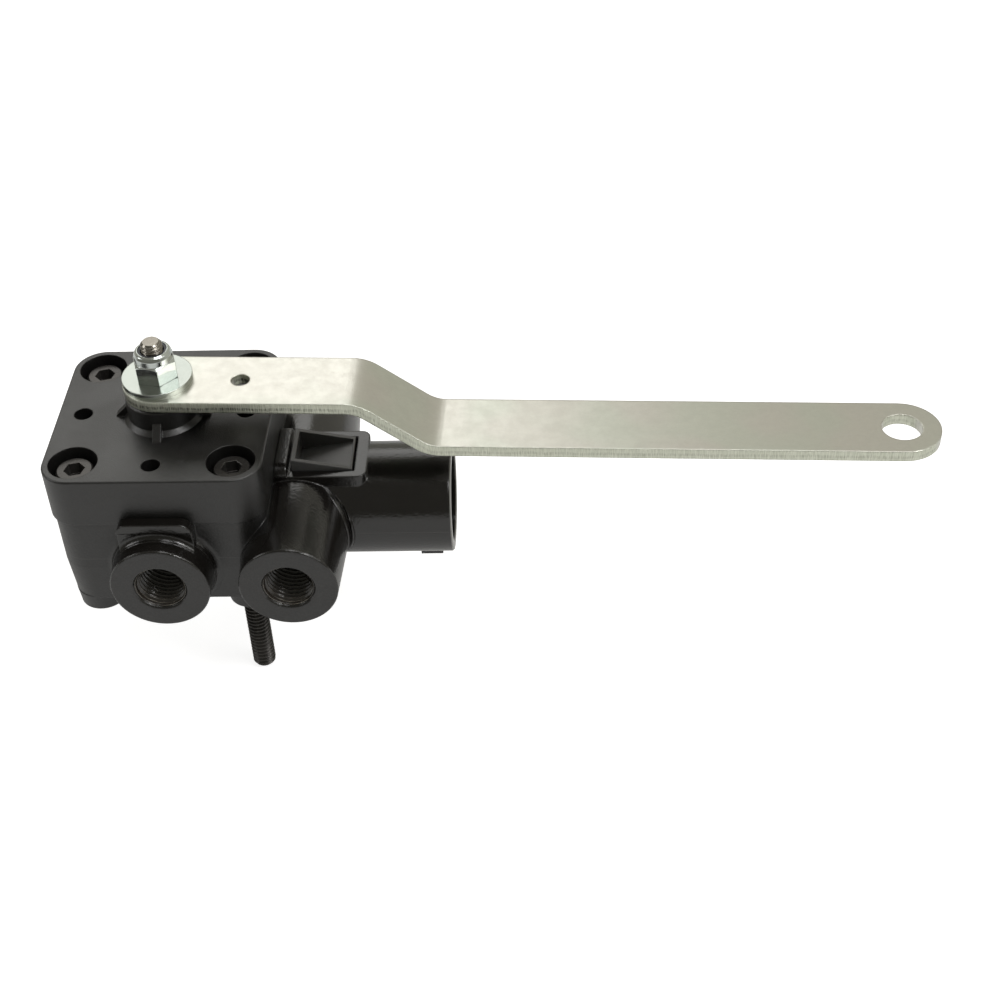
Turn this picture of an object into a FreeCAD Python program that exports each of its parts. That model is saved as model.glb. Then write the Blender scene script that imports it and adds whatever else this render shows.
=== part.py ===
import FreeCAD, Part
import math
import os

V = FreeCAD.Vector
X_AXIS, Y_AXIS, Z_AXIS = V(1, 0, 0), V(0, 1, 0), V(0, 0, 1)

# Height control valve of an air suspension, in millimetres.
# The origin is on the plane of the feet, in the middle of the two mounting screws.
# The lever shaft stands on +Z, the lever and the side tube point along +X.

# Housing block and its cover
cover_size = 56.0
cover_height = 14.0
cover_edge = 0.5
overhang = 0.7
corner_radius = 8.0
pad_below_joint = 0.4
foot_height = 4.3
foot_radius = 6.6
foot_draft = 0.4
tube_above_feet = 0.9
draft_angle = 3.5
joint_gap = 0.05

# Four screws with like heads: two long ones mount the valve, two short ones hold the cover
screw_inset = 8.0
screw_radius = 3.175
screw_thread_radius = 3.1
screw_thread_top = 0.0
short_screw_radius = 2.825
short_thread_radius = 2.75
short_thread_length = 19.0
screw_clearance = 0.175
head_radius = 4.76
head_height = 6.35
head_chamfer = 0.45
socket_flats = 4.76
socket_depth = 3.2
head_below_cover = 2.1
head_hole_radius = 6.25
short_screw_length = 25.4
long_screw_length = 63.5
screw_tip_chamfer = 0.6

# Cored holes in the cover, between the screws; the lever's small hole lies over one
core_hole_inset = 6.65
core_hole_radius = 2.45
core_hole_depth = 5.0

# Boss of the shaft on the cover
boss_radius = 9.2
boss_height = 7.0
boss_root = 1.2
rib_width = 2.2
rib_reach = 12.4
rib_height = 3.4

# Lever shaft and what turns with it
shaft_radius = 6.0
shaft_shoulder = 7.9
flange_radius = 13.5
flange_thickness = 3.0
stub_radius = 4.0
stub_flats = 6.0
stub_short = 0.3
thread_radius = 3.0
thread_tip = 22.8
thread_chamfer = 0.5
bushing_wall = 1.5
bushing_recess = 1.0
running_clearance = 0.05
seal_section = 0.9
seal_groove_depth = 1.5
seal_height = 3.2

# Lever arm
lever_width = 20.0
lever_thickness = 3.0
lever_length = 189.9
lever_short_end = 9.1
lever_angle = -2.2
lever_drop = 13.1
bend_start = 52.6
bend_run = 17.6
bend_radius = 8.0
eye_radius = 5.2
centring_hole_radius = 2.4

# Washer and self-locking nut
washer_radius = 9.0
washer_thickness = 1.6
nut_flats = 10.0
nut_height = 5.2
nut_collar_height = 2.8
nut_collar_radius = 4.85
nut_collar_edge = 1.2
nut_chamfer = 0.5
nut_turn = 47.0
insert_height = 2.0
insert_wall = 0.7
insert_inset = 0.3
thread_clearance = 0.05

# Sliding discs in the housing
chamber_radius = 16.0
chamber_height = 8.0
pocket_radius = 15.3
pocket_depth = 6.0
seat_radius = 15.0
seat_height = 5.0
rotor_radius = 13.0
rotor_height = 4.0
way_circle = 8.0
way_radius = 1.8
way_slot_half_angle = 35.0
way_slot_depth = 1.6
key_width = 3.0
key_length = 4.0
key_height = 1.8
key_offset = 9.5
key_clearance = 0.1
ring_pocket_radius = 3.6
ring_pocket_depth = 1.3
seal_clearance = 0.02
thrust_spring_thickness = 0.7
pin_radius = 1.2
pin_length = 6.0
pin_offset = 12.6

# Gasket between the housing and the cover
gasket_radius = 17.6
gasket_section = 0.9

# Ports
port_reach = 7.6
port_boss_radius = 12.75
port_boss_draft = 3.0
port_boss_start = 14.0
port_boss_end = 3.0
root_ring_width = 1.8
root_ring_depth = 2.0
plate_ring_width = 1.4
port_edge = 0.35
port_thread_radius = 6.6
port_thread_depth = 14.5
port_mouth_radius = 7.1
port_mouth_chamfer = 0.6
port_step = 1.0
side_port_from_floor = 4.5

# Plates behind the front port and round the tube
plate_half_width = 9.6
plate_rise = 2.3
plate_thickness = 3.1
plate_lip = 2.8
plate_recess = 0.8
plate_corner = 3.0
plate_gap = 0.1

# Side tube
tube_radius = 15.0
tube_wall = 3.0
tube_depth = 45.5
mouth_wall = 2.7
mouth_depth = 11.5
tube_edge = 0.4
tab_from_end = 9.5
tab_length = 6.0
tab_half_width = 5.0
tab_height = 1.7

# Pad on the tube and the clip in it
pad_beyond_clip = 3.8
pad_half_width = 9.6
pad_corner = 2.5
pad_depth = 4.5
clip_from_cover = 4.3
clip_length = 15.9
clip_half_width = 6.8
clip_wall = 1.15
clip_rim_rise = 3.4
clip_floor_drop = 2.5
clip_floor_end = 0.4
clip_gap = 0.6
clip_sole = 0.6
tongue_from_clip = 4.7
tongue_length = 6.0
tongue_half_width = 4.5
tongue_depth = 3.2

# Inlet check valve in the front port
check_radius = 5.0
check_beyond_ways = 1.0
check_seat_gap = 0.1
check_seat_length = 2.0
check_seat_bore = 2.4
poppet_radius = 3.7
poppet_head = 2.0
poppet_stem_radius = 1.3
poppet_chamfer = 0.8
poppet_travel = 2.0
check_spring_radius = 2.3
check_spring_wire = 0.3
check_spring_pitch = 1.65
screen_radius = 5.9
screen_thickness = 0.8
screen_hole_radius = 0.6
screen_ring = 3.2
screen_holes = 8
inlet_way_radius = 2.3

# Dump cartridge in the side tube
cartridge_before_tongue = 8.0
cartridge_floor_gap = 0.5
cartridge_length = 33.0
cartridge_clearance = 0.15
cartridge_wall = 4.85
cartridge_cap = 5.0
cartridge_edge = 0.6
stop_step = 1.0
stop_clearance = 0.1
cartridge_window = 4.0
pilot_radius = 3.0
groove_width = 2.4
groove_depth = 1.7
cartridge_seal_places = (2.0, 20.5, 29.5)
piston_length = 9.0
piston_gap = 2.2
piston_skirt = 5.5
piston_wall = 2.4
piston_travel = 4.0
piston_groove_width = 2.0
piston_groove_depth = 1.3
piston_seal_place = 6.6
dump_spring_room = 0.9
dump_spring_wire = 0.4
dump_spring_pitch = 3.7
dump_seat_length = 3.0
dump_seat_land = 1.1

# Exhaust below the housing
exhaust_radius = 6.0
exhaust_depth = 2.2
exhaust_screen_thickness = 0.8
exhaust_screen_ring = 3.4
exhaust_screen_inset = 0.6

# Levels, radii and places that follow from the sizes above
block_size = cover_size - 2 * overhang
port_height = tube_radius + tube_above_feet
pad_top = port_height + tube_radius
block_top = pad_top + pad_below_joint
cover_top = block_top + cover_height
half_pitch = cover_size / 2 - screw_inset
core_hole_offset = cover_size / 2 - core_hole_inset
head_top = cover_top - head_below_cover
head_seat = head_top - head_height
shoulder_top = cover_top + shaft_shoulder
lever_top = shoulder_top + lever_thickness
washer_top = lever_top + washer_thickness
nut_top = washer_top + nut_height
pocket_floor = block_top - pocket_depth
seat_top = pocket_floor + seat_height
rotor_top = seat_top + rotor_height
flange_top = rotor_top + flange_thickness
chamber_top = block_top + chamber_height
bushing_radius = shaft_radius + running_clearance + bushing_wall
port_face = cover_size / 2 + port_reach
port_thread_end = port_face - port_thread_depth
plate_top = block_top + plate_rise
clip_start = cover_size / 2 + clip_from_cover
pad_end = clip_start + clip_length + pad_beyond_clip
tongue_start = clip_start + tongue_from_clip
cartridge_start = tongue_start - cartridge_before_tongue
tube_floor = cartridge_start - cartridge_floor_gap
tube_end = tube_floor + tube_depth
tab_start = tube_end - tab_from_end
side_port_offset = tube_floor + side_port_from_floor
tube_bore = tube_radius - tube_wall
mouth_radius = tube_radius - mouth_wall
check_end = way_circle + check_beyond_ways
check_seat_start = port_thread_end - screen_thickness - check_seat_gap
cartridge_radius = tube_bore - cartridge_clearance
cartridge_bore = cartridge_radius - cartridge_wall
piston_bore = cartridge_bore - piston_wall
dump_spring_radius = piston_bore - dump_spring_room
dump_seat_bore = dump_spring_radius - dump_seat_land


def cylinder(radius, start, end, axis):
    """Cylinder from one point along an axis, to the given end distance."""
    return Part.makeCylinder(radius, end - start, axis * start, axis)


def cylinder_at(radius, base, axis, length):
    return Part.makeCylinder(radius, length, base, axis)


def box(x0, x1, y0, y1, z0, z1):
    return Part.makeBox(x1 - x0, y1 - y0, z1 - z0, V(x0, y0, z0))


def rounded_outline(size, radius, z):
    """Square wire with round corners, centred on Z."""
    square = Part.makePlane(size, size, V(-size / 2, -size / 2, z))
    prism = square.extrude(V(0, 0, 1))
    upright = [e for e in prism.Edges if abs(e.tangentAt(e.FirstParameter).z) > 0.9]
    rounded = prism.makeFillet(radius, upright)
    bottom = min(rounded.Faces, key=lambda f: f.CenterOfMass.z)
    return bottom.OuterWire


def revolve(points, origin, across, along):
    """Solid of revolution: each point is (radius, distance along the axis)."""
    places = [origin + across * r + along * h for r, h in points]
    profile = Part.Face(Part.makePolygon(places + [places[0]]))
    solid = profile.revolve(origin, along, 360)
    if solid.Volume < 0:
        solid.reverse()
    return solid


def ring(mean_radius, section, origin, axis):
    return Part.makeTorus(mean_radius, section, origin, axis)


def hexagon(flats, base, height, turn):
    corner = flats / math.sqrt(3)
    points = []
    for k in range(7):
        angle = math.radians(turn + 60 * k)
        points.append(base + V(corner * math.cos(angle), corner * math.sin(angle), 0))
    return Part.Face(Part.makePolygon(points)).extrude(V(0, 0, height))


def coil(radius, wire, pitch, length, base, axis):
    """Coil spring of eight-sided wire between two planes that stand length apart."""
    path = Part.makeHelix(pitch, length - 2 * wire, radius)
    corners = []
    for step in range(9):
        turn = math.radians(45 * step)
        corners.append(V(radius + wire * math.cos(turn), 0, wire * math.sin(turn)))
    section = Part.makePolygon(corners)
    spring = Part.Wire(path).makePipeShell([section], True, True)
    spring.Placement = FreeCAD.Placement(base + axis * wire, FreeCAD.Rotation(Z_AXIS, axis))
    return spring


def screw_places():
    """Long screws stand front right and rear left, short ones in the other corners."""
    long_places = [V(half_pitch, -half_pitch, 0), V(-half_pitch, half_pitch, 0)]
    short_places = [V(-half_pitch, -half_pitch, 0), V(half_pitch, half_pitch, 0)]
    return long_places, short_places


def way_places():
    """Three air ways through the seat: inlet in front, delivery and exhaust behind."""
    places = []
    for angle in (270, 30, 150):
        a = math.radians(angle)
        places.append(V(way_circle * math.cos(a), way_circle * math.sin(a), 0))
    return places


def boss_radius_at(distance):
    """Radius of a port boss at a distance from the valve's middle plane."""
    return port_boss_radius + (port_face - distance) * math.tan(math.radians(port_boss_draft))


def port_boss(x, side, start):
    """Round boss whose outer end is flat, with the draft of its mould."""
    profile = [
        (0, start),
        (boss_radius_at(start + port_boss_end) - port_boss_end, start),
        (boss_radius_at(start + port_boss_end), start + port_boss_end),
        (boss_radius_at(port_face - port_edge), port_face - port_edge),
        (port_boss_radius - port_edge, port_face),
        (0, port_face),
    ]
    return revolve(profile, V(x, 0, port_height), X_AXIS, Y_AXIS * side)


def root_ring(width, place):
    """Concave ring that blends the front boss into the flat face behind it."""
    radius = boss_radius_at(place)
    foot = place - root_ring_depth
    axis_point = V(0, 0, port_height)

    def at(r, h):
        return axis_point + X_AXIS * r - Y_AXIS * h

    bend = width * (1 - math.sqrt(0.5))
    edges = [
        Part.makeLine(at(radius - width, foot), at(radius + width, foot)),
        Part.makeLine(at(radius + width, foot), at(radius + width, place)),
        Part.Arc(
            at(radius + width, place), at(radius + bend, place + bend), at(radius, place + width)).toShape(),
        Part.makeLine(at(radius, place + width), at(radius - width, place + width)),
        Part.makeLine(at(radius - width, place + width), at(radius - width, foot)),
    ]
    return Part.Face(Part.Wire(edges)).revolve(axis_point, Y_AXIS, 360)


def front_boss():
    """Front port's boss with its blends into the block and into the plate above it."""
    block_ring = root_ring(root_ring_width, block_size / 2)
    plate_face = cover_size / 2 + plate_gap + plate_thickness - plate_recess
    plate_ring = root_ring(plate_ring_width, plate_face)
    plate_room = box(-plate_half_width, plate_half_width, -port_face, 0, port_height, plate_top)
    return port_boss(0, -1, port_boss_start).multiFuse([block_ring, plate_ring.common(plate_room)])


def port_hole(x, side):
    """Threaded length of a port with its chamfered mouth, as one cutter."""
    thread_end = port_face - port_thread_depth
    profile = [
        (0, thread_end),
        (port_thread_radius, thread_end),
        (port_thread_radius, port_face - port_mouth_chamfer),
        (port_mouth_radius, port_face),
        (port_mouth_radius, port_face + 1),
        (0, port_face + 1),
    ]
    return revolve(profile, V(x, 0, port_height), X_AXIS, Y_AXIS * side)


def mould_plate():
    """Upright plate on the front of the block, with a lip along its top."""
    back = -block_size / 2 + 0.5
    wall = cover_size / 2 + plate_gap
    front = wall + plate_thickness
    full = box(-plate_half_width, plate_half_width, -front, back, port_height, plate_top)
    corners = [
        e for e in full.Edges
        if abs(e.tangentAt(e.FirstParameter).y) > 0.9 and e.CenterOfMass.z > plate_top - 0.1
    ]
    plate = full.makeFillet(plate_corner, corners)
    cover_room = box(-cover_size, cover_size, -wall, back + 1, block_top, plate_top + 1)
    lip_bottom = plate_top - plate_lip
    recess = box(-cover_size, cover_size, -front - 1, -front + plate_recess, 0, lip_bottom)
    return plate.cut(cover_room).cut(recess)


def side_tube():
    """Open tube with a port boss on either side."""
    profile = [
        (0, 0),
        (tube_radius, 0),
        (tube_radius, tube_end - tube_edge),
        (tube_radius - tube_edge, tube_end),
        (0, tube_end),
    ]
    tube = revolve(profile, V(0, 0, port_height), Z_AXIS, X_AXIS)
    bosses = [port_boss(side_port_offset, side, 0) for side in (-1, 1)]
    tube = tube.multiFuse(bosses).removeSplitter()
    tab_base = port_height - tube_radius
    tab = box(tab_start, tab_start + tab_length, -tab_half_width, tab_half_width,
              tab_base - tab_height, tab_base + tube_wall / 2)
    return tube.fuse(tab)


def clip_pad():
    """Flat pad on top of the tube, level with the tube's highest line."""
    start = block_size / 2 - 1
    pad = box(start, pad_end, -pad_half_width, pad_half_width, pad_top - pad_depth, pad_top)
    corners = [
        e for e in pad.Edges
        if abs(e.tangentAt(e.FirstParameter).z) > 0.9 and e.CenterOfMass.x > pad_end - 0.1
    ]
    return pad.makeFillet(pad_corner, corners)


def clip_opening():
    x0 = clip_start - clip_gap / 2
    x1 = clip_start + clip_length + clip_gap
    half = clip_half_width + clip_gap / 2
    return box(x0, x1, -half, half, port_height, pad_top + 1)


def housing_block():
    z_mid = port_height
    lower_size = block_size - 2 * (z_mid - foot_height) * math.tan(math.radians(draft_angle))
    lower_radius = corner_radius - overhang - (block_size - lower_size) / 4
    upper_radius = corner_radius - overhang
    upper = Part.Face(rounded_outline(block_size, upper_radius, z_mid)).extrude(V(0, 0, block_top - z_mid))
    foot_outline = rounded_outline(lower_size, lower_radius, foot_height)
    parting_outline = rounded_outline(block_size, upper_radius, z_mid)
    lower = Part.makeLoft([foot_outline, parting_outline], True, True)
    return upper.fuse(lower)


def make_valve_body():
    body = housing_block()
    long_places, short_places = screw_places()
    side_plate = mould_plate()
    side_plate.rotate(V(0, 0, 0), Z_AXIS, 90)
    solids = [front_boss(), mould_plate(), side_plate, side_tube(), clip_pad()]
    for place in long_places + short_places:
        foot = Part.makeCone(foot_radius - foot_draft, foot_radius, foot_height + 0.5, place)
        solids.append(foot)
    body = body.multiFuse(solids).removeSplitter()
    return body.cut(Part.makeCompound(body_cutters()))


def body_cutters():
    long_places, short_places = screw_places()
    cutters = [
        cylinder(pocket_radius, pocket_floor, block_top + 1, Z_AXIS),
        port_hole(0, -1), port_hole(side_port_offset, -1), port_hole(side_port_offset, 1),
        cylinder_at(tube_bore, V(tube_floor, 0, port_height), X_AXIS, tube_end - tube_floor + 1),
        cylinder_at(mouth_radius, V(tube_end - mouth_depth, 0, port_height), X_AXIS, mouth_depth + 1),
        clip_opening(),
        gasket_groove(),
    ]
    for place in long_places:
        cutters.append(cylinder_at(screw_radius + screw_clearance, place - Z_AXIS, Z_AXIS, block_top + 2))
    short_tip = head_seat - short_screw_length
    for place in short_places:
        base = place + Z_AXIS * (short_tip - 1.5)
        hole_radius = short_screw_radius + thread_clearance
        cutters.append(cylinder_at(hole_radius, base, Z_AXIS, block_top - base.z + 1))
    port_base = V(side_port_offset, -port_face, port_height)
    cutters.append(cylinder_at(port_thread_radius - port_step, port_base, Y_AXIS, 2 * port_face))
    screen_base = V(0, -port_thread_end - 1, port_height)
    cutters.append(cylinder_at(screen_radius + seal_clearance, screen_base, Y_AXIS, screen_thickness + 1))
    cutters.append(cylinder_at(check_radius, screen_base, Y_AXIS, port_thread_end + 1 - check_end))
    inlet, delivery, exhaust = way_places()
    way_length = check_end + 1 - way_circle + inlet_way_radius / 2
    cutters.append(cylinder_at(inlet_way_radius, V(0, -check_end - 1, port_height), Y_AXIS, way_length))
    for place in (inlet, delivery, exhaust):
        low = exhaust_depth if place is exhaust else port_height
        cutters.append(cylinder_at(way_radius, place + Z_AXIS * low, Z_AXIS, pocket_floor - low + 1))
        pocket_base = place + Z_AXIS * (pocket_floor - ring_pocket_depth)
        cutters.append(cylinder_at(ring_pocket_radius, pocket_base, Z_AXIS, ring_pocket_depth + 1))
    delivery_base = delivery + Z_AXIS * port_height
    cutters.append(cylinder_at(way_radius, delivery_base, X_AXIS, tube_floor - delivery.x + 1))
    cutters.append(cylinder_at(exhaust_radius, exhaust, Z_AXIS, foot_height + exhaust_depth))
    pin_base = V(0, pin_offset, pocket_floor - pin_length / 2)
    cutters.append(cylinder_at(pin_radius + thread_clearance, pin_base, Z_AXIS, pin_length))
    return cutters


def gasket_groove():
    outer = cylinder_at(gasket_radius + gasket_section + 0.1, V(0, 0, block_top - gasket_section), Z_AXIS, 3)
    inner = cylinder_at(gasket_radius - gasket_section - 0.1, V(0, 0, block_top - gasket_section), Z_AXIS, 3)
    return outer.cut(inner)


def make_cover_gasket():
    """Square-section ring, squeezed level with the joint face."""
    base = V(0, 0, block_top - gasket_section)
    outer = cylinder_at(gasket_radius + gasket_section, base, Z_AXIS, gasket_section)
    inner = cylinder_at(gasket_radius - gasket_section, base, Z_AXIS, gasket_section)
    return outer.cut(inner)


def shaft_boss():
    top = cover_top + boss_height
    root = boss_radius + boss_root
    profile = [
        (0, cover_top - 1), (root, cover_top - 1), (root, cover_top),
        (boss_radius, cover_top + boss_root), (boss_radius, top - cover_edge),
        (boss_radius - cover_edge, top), (0, top),
    ]
    return revolve(profile, V(0, 0, 0), X_AXIS, Z_AXIS)


def boss_rib(turn):
    """Triangular rib that stiffens the boss, as a slice across the cover's top."""
    inside = boss_radius - 1
    points = [
        V(inside, 0, cover_top - 1), V(rib_reach, 0, cover_top - 1), V(rib_reach, 0, cover_top + 0.2),
        V(boss_radius, 0, cover_top + rib_height), V(inside, 0, cover_top + rib_height),
    ]
    rib = slab_from(points, -rib_width / 2, rib_width / 2)
    rib.rotate(V(0, 0, 0), Z_AXIS, turn)
    return rib


def slab_from(points, y0, y1):
    """Solid with the given side view, between two places across."""
    solid = Part.Face(Part.makePolygon(points + [points[0]])).extrude(V(0, y1 - y0, 0))
    solid.translate(V(0, y0, 0))
    return solid


def make_cover():
    outline = rounded_outline(cover_size, corner_radius, block_top + joint_gap)
    slab = Part.Face(outline).extrude(V(0, 0, cover_height - joint_gap))
    rims = [e for e in slab.Edges if abs(e.CenterOfMass.z - cover_top) < 0.01]
    slab = slab.makeFillet(cover_edge, rims)
    ribs = [boss_rib(90 * quarter) for quarter in range(4)]
    cover = slab.multiFuse([shaft_boss()] + ribs).removeSplitter()
    cutters = [
        cylinder(chamber_radius, block_top, chamber_top, Z_AXIS),
        cylinder(bushing_radius + thread_clearance, chamber_top - 1, cover_top + boss_height + 1, Z_AXIS),
    ]
    long_places, short_places = screw_places()
    for place in long_places + short_places:
        cutters.append(cylinder_at(head_hole_radius, place + Z_AXIS * head_seat, Z_AXIS, cover_height))
        hole_radius = screw_radius + screw_clearance
        cutters.append(cylinder_at(hole_radius, place + Z_AXIS * block_top, Z_AXIS, cover_height))
    for quarter in range(4):
        a = math.radians(90 * quarter)
        base = V(core_hole_offset * math.cos(a), core_hole_offset * math.sin(a), cover_top - core_hole_depth)
        cutters.append(cylinder_at(core_hole_radius, base, Z_AXIS, core_hole_depth + 1))
    return cover.cut(Part.makeCompound(cutters))


def cap_screw(place, shank, thread, thread_end, tip):
    """Socket head cap screw, hanging down from its seat in the cover, thinner along its thread."""
    profile = [
        (0, tip), (thread - screw_tip_chamfer, tip), (thread, tip + screw_tip_chamfer),
        (thread, thread_end), (shank, thread_end),
        (shank, head_seat), (head_radius, head_seat), (head_radius, head_top - head_chamfer),
        (head_radius - head_chamfer, head_top), (0, head_top),
    ]
    screw = revolve(profile, V(place.x, place.y, 0), X_AXIS, Z_AXIS)
    socket = hexagon(socket_flats, V(place.x, place.y, head_top - socket_depth), socket_depth + 1, 15)
    return screw.cut(socket)


def short_screw(place):
    """Screw that only holds the cover down on the housing."""
    tip = head_seat - short_screw_length
    return cap_screw(place, short_screw_radius, short_thread_radius, tip + short_thread_length, tip)


def long_screw(place):
    """Screw that runs through the housing and carries a nut below the feet."""
    tip = head_seat - long_screw_length
    return cap_screw(place, screw_radius, screw_thread_radius, screw_thread_top, tip)


def make_control_shaft():
    tip = cover_top + thread_tip
    stub_top = lever_top - stub_short
    groove_low = cover_top + seal_height - seal_section
    groove_high = groove_low + 2 * seal_section
    groove_radius = shaft_radius - seal_groove_depth
    profile = [
        (0, rotor_top), (flange_radius, rotor_top), (flange_radius, flange_top), (shaft_radius, flange_top),
        (shaft_radius, groove_low), (groove_radius, groove_low), (groove_radius, groove_high),
        (shaft_radius, groove_high), (shaft_radius, shoulder_top), (stub_radius, shoulder_top),
        (stub_radius, stub_top), (thread_radius, stub_top), (thread_radius, tip - thread_chamfer),
        (thread_radius - thread_chamfer, tip), (0, tip),
    ]
    shaft = revolve(profile, V(0, 0, 0), X_AXIS, Z_AXIS)
    flats = []
    for side in (-1, 1):
        y0, y1 = sorted((side * stub_flats / 2, side * (stub_radius + 1)))
        flats.append(box(-stub_radius - 1, stub_radius + 1, y0, y1, shoulder_top, stub_top))
    shaft = shaft.cut(Part.makeCompound(flats))
    keys = []
    for side in (-1, 1):
        x0, x1 = sorted((side * (key_offset - key_length / 2), side * (key_offset + key_length / 2)))
        keys.append(box(x0, x1, -key_width / 2, key_width / 2, rotor_top - key_height, rotor_top + 0.5))
    shaft = shaft.multiFuse(keys)
    shaft.rotate(V(0, 0, 0), Z_AXIS, lever_angle)
    return shaft


def make_shaft_seal():
    seat = shaft_radius - seal_groove_depth
    outer = shaft_radius
    section = (outer - seat) / 2 - seal_clearance
    return ring((seat + outer) / 2, section, V(0, 0, cover_top + seal_height), Z_AXIS)


def make_shaft_bushing():
    low = chamber_top
    high = cover_top + boss_height - bushing_recess
    outer = cylinder(bushing_radius, low, high, Z_AXIS)
    return outer.cut(cylinder(shaft_radius + running_clearance, low - 1, high + 1, Z_AXIS))


def make_thrust_spring():
    """Disc spring: a shallow cone of strip between the shaft's flange and the cover."""
    inner, outer = bushing_radius + 1.5, flange_radius - 0.5
    low, high = flange_top + running_clearance, chamber_top
    strip = thrust_spring_thickness
    profile = [(inner, high - strip), (outer, low), (outer, low + strip), (inner, high)]
    return revolve(profile, V(0, 0, 0), X_AXIS, Z_AXIS)


def make_rotor_disc():
    """Disc that slides on the seat and joins two of its ways through a curved hollow."""
    disc = cylinder(rotor_radius, seat_top, rotor_top, Z_AXIS)
    cutters = []
    for side in (-1, 1):
        reach = key_length / 2 + key_clearance
        x0, x1 = sorted((side * (key_offset - reach), side * (key_offset + reach)))
        half = key_width / 2 + key_clearance
        cutters.append(box(x0, x1, -half, half, rotor_top - key_height - key_clearance, rotor_top + 1))
    width = way_radius + 0.4
    sweep = 2 * way_slot_half_angle
    hollow = Part.makeCylinder(way_circle + width, way_slot_depth, V(0, 0, seat_top), Z_AXIS, sweep)
    hollow = hollow.cut(cylinder(way_circle - width, seat_top - 1, rotor_top, Z_AXIS))
    hollow.rotate(V(0, 0, 0), Z_AXIS, 90 - way_slot_half_angle)
    cutters.append(hollow)
    disc = disc.cut(Part.makeCompound(cutters))
    disc.rotate(V(0, 0, 0), Z_AXIS, lever_angle)
    return disc


def make_seat_disc():
    disc = cylinder(seat_radius, pocket_floor, seat_top, Z_AXIS)
    floor = Z_AXIS * pocket_floor
    cutters = [cylinder_at(way_radius, place + floor, Z_AXIS, seat_height) for place in way_places()]
    pin_base = V(0, pin_offset, pocket_floor)
    cutters.append(cylinder_at(pin_radius + thread_clearance, pin_base, Z_AXIS, pin_length / 2 + 0.3))
    return disc.cut(Part.makeCompound(cutters))


def make_seat_seals():
    section = ring_pocket_depth / 2 - seal_clearance
    middle = ring_pocket_radius - section - seal_clearance
    height = Z_AXIS * (pocket_floor - ring_pocket_depth / 2)
    return Part.makeCompound([ring(middle, section, place + height, Z_AXIS) for place in way_places()])


def make_seat_pin():
    return cylinder_at(pin_radius, V(0, pin_offset, pocket_floor - pin_length / 2), Z_AXIS, pin_length)


def make_lever_arm():
    half = lever_width / 2
    z_top = lever_top
    z_low = lever_top - lever_drop
    x_near = -lever_short_end - 1
    near_centre = half - lever_short_end
    x_far = lever_length + half + 1
    bend_end = bend_start + bend_run
    shift = lever_thickness * math.tan(math.atan2(lever_drop, bend_run) / 2)
    upper = [V(x_near, 0, z_top), V(bend_start, 0, z_top), V(bend_end, 0, z_low), V(x_far, 0, z_low)]
    drop = Z_AXIS * lever_thickness
    inward = drop + X_AXIS * shift
    lower = [upper[3] - drop, upper[2] - inward, upper[1] - inward, upper[0] - drop]
    side = slab_from(upper + lower, -half - 1, half + 1)
    side = side.makeFillet(bend_radius + lever_thickness, bend_edges(side, (upper[1], lower[1])))
    side = side.makeFillet(bend_radius, bend_edges(side, (lower[2], upper[2])))
    plan = [
        Part.makeLine(V(near_centre, -half, 0), V(lever_length, -half, 0)),
        Part.Arc(V(lever_length, -half, 0), V(x_far - 1, 0, 0), V(lever_length, half, 0)).toShape(),
        Part.makeLine(V(lever_length, half, 0), V(near_centre, half, 0)),
        Part.Arc(V(near_centre, half, 0), V(-lever_short_end, 0, 0), V(near_centre, -half, 0)).toShape(),
    ]
    outline = Part.Face(Part.Wire(plan)).extrude(V(0, 0, z_top + 5))
    bar = side.common(outline)
    seat_hole = cylinder(stub_radius + running_clearance, 0, z_top + 5, Z_AXIS)
    flat = stub_flats / 2 + running_clearance
    seat_hole = seat_hole.common(box(-half, half, -flat, flat, 0, z_top + 5))
    eye = cylinder_at(eye_radius, V(lever_length, 0, 0), Z_AXIS, z_top)
    centring_hole = cylinder_at(centring_hole_radius, V(core_hole_offset, 0, 0), Z_AXIS, z_top + 5)
    bar = bar.cut(Part.makeCompound([seat_hole, eye, centring_hole]))
    bar.rotate(V(0, 0, 0), Z_AXIS, lever_angle)
    return bar


def bend_edges(solid, places):
    """Edges across the bar that pass through the given corners of its side view."""
    found = []
    for edge in solid.Edges:
        middle = edge.CenterOfMass
        for place in places:
            if abs(middle.x - place.x) < 0.01 and abs(middle.z - place.z) < 0.01:
                found.append(edge)
    return found


def make_lever_washer():
    disc = cylinder(washer_radius, lever_top, washer_top, Z_AXIS)
    return disc.cut(cylinder(thread_radius + 0.4, lever_top - 1, washer_top + 1, Z_AXIS))


def make_lock_nut():
    """Hexagon with a round collar that holds the nylon ring."""
    corner = nut_flats / math.sqrt(3)
    prism = hexagon(nut_flats, V(0, 0, washer_top), nut_height, nut_turn)
    turned = revolve(
        [(0, washer_top), (corner - nut_chamfer, washer_top), (corner, washer_top + nut_chamfer / 2),
         (corner, nut_top - nut_chamfer), (nut_flats / 2 - 0.1, nut_top), (0, nut_top)],
        V(0, 0, 0), X_AXIS, Z_AXIS)
    collar_top = nut_top + nut_collar_height
    shoulder = nut_collar_radius - nut_collar_edge
    collar = revolve(
        [(0, nut_top - 1), (nut_collar_radius, nut_top - 1),
         (nut_collar_radius, collar_top - nut_collar_edge),
         (nut_collar_radius - nut_collar_edge / 3, collar_top - nut_collar_edge / 3),
         (shoulder, collar_top), (0, collar_top)],
        V(0, 0, 0), X_AXIS, Z_AXIS)
    nut = prism.common(turned).fuse(collar)
    bore = cylinder(thread_radius + thread_clearance, washer_top - 1, collar_top + 1, Z_AXIS)
    room = cylinder(insert_radius() + thread_clearance, insert_top() - insert_height, collar_top + 1, Z_AXIS)
    return nut.cut(bore).cut(room)


def insert_radius():
    return thread_radius + insert_wall


def insert_top():
    return nut_top + nut_collar_height - insert_inset


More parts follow.
